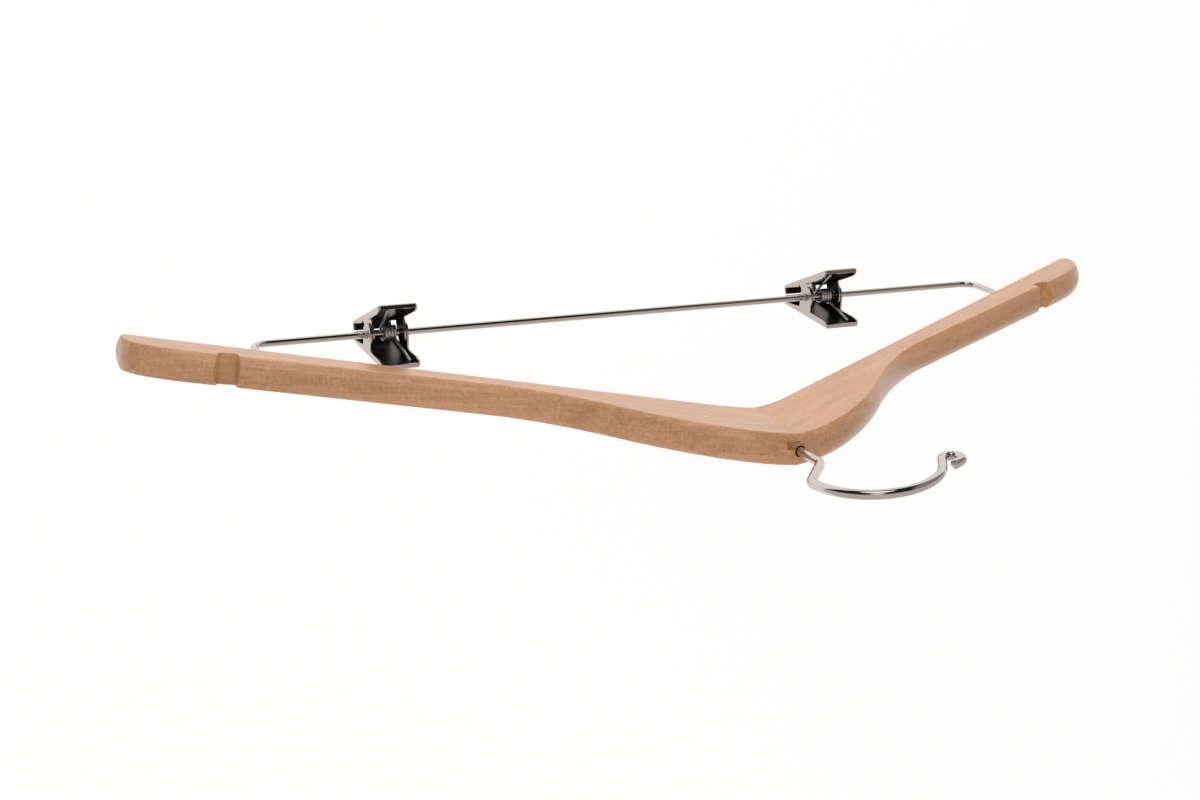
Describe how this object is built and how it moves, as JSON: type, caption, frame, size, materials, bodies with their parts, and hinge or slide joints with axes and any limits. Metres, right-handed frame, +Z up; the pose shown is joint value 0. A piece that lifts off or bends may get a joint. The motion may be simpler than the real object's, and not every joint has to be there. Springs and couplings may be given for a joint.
{
  "type": "clip hanger",
  "caption": "Wooden clothes hanger with a swivelling wire hook, a wire trouser bar and sliding sprung metal clips for skirts and trousers.",
  "frame": {"origin": "the point inside the top of the hook's loop where the rail bears", "axes": "+Z up along the hook's shank as the hanger hangs, +X along the trouser bar towards the right arm, -Y out of the front of the hanger, the side that the arms are swept towards"},
  "size_m": [0.4507, 0.0414, 0.2159],
  "materials": {
    "lacquered_wood": "clear satin lacquer over pale beech",
    "chromed_wire": "bright chrome plate",
    "plated_sheet": "bright nickel plate on pressed steel sheet",
    "spring_steel": "plated music wire"
  },
  "bodies": {
    "hook": {"hook": "chromed_wire", "hook_washer": "chromed_wire"},
    "frame": {"right_arm": "lacquered_wood", "left_arm": "lacquered_wood", "trouser_bar": "chromed_wire"},
    "right_spring": {"right_clip_spring": "spring_steel"},
    "right_rear": {"right_clip_rear_jaw": "plated_sheet"},
    "right_front": {"right_clip_front_jaw": "plated_sheet"},
    "left_spring": {"left_clip_spring": "spring_steel"},
    "left_rear": {"left_clip_rear_jaw": "plated_sheet"},
    "left_front": {"left_clip_front_jaw": "plated_sheet"}
  },
  "joints": [
    {"name": "hook_swivel", "type": "hinge", "parent": "hook", "child": "frame", "pos_m": [0.01304, 0.00137, -0.06], "axis": [0, 0, 1], "continuous": true},
    {"name": "right_clip_slide", "type": "slide", "parent": "frame", "child": "right_spring", "axis": [1, 0, 0], "range_m": [-0.1057, 0.0393]},
    {"name": "right_clip_swing", "type": "hinge", "parent": "right_spring", "child": "right_rear", "pos_m": [0.12874, -0.01764, -0.19161], "axis": [1, 0, 0], "continuous": true, "deforming": ["right_clip_spring"]},
    {"name": "right_clip_open", "type": "hinge", "parent": "right_rear", "child": "right_front", "pos_m": [0.12874, -0.01764, -0.19161], "axis": [-1, 0, 0], "range_deg": [0, 42], "stiffness_Nm_per_rad": 0.06, "springref_deg": -45.84, "deforming": ["right_clip_spring"]},
    {"name": "left_clip_slide", "type": "slide", "parent": "frame", "child": "left_spring", "axis": [1, 0, 0], "range_m": [-0.064, 0.081]},
    {"name": "left_clip_swing", "type": "hinge", "parent": "left_spring", "child": "left_rear", "pos_m": [-0.07796, -0.01764, -0.19161], "axis": [1, 0, 0], "continuous": true, "deforming": ["left_clip_spring"]},
    {"name": "left_clip_open", "type": "hinge", "parent": "left_rear", "child": "left_front", "pos_m": [-0.07796, -0.01764, -0.19161], "axis": [-1, 0, 0], "range_deg": [0, 42], "stiffness_Nm_per_rad": 0.06, "springref_deg": -45.84, "deforming": ["left_clip_spring"]}
  ]
}
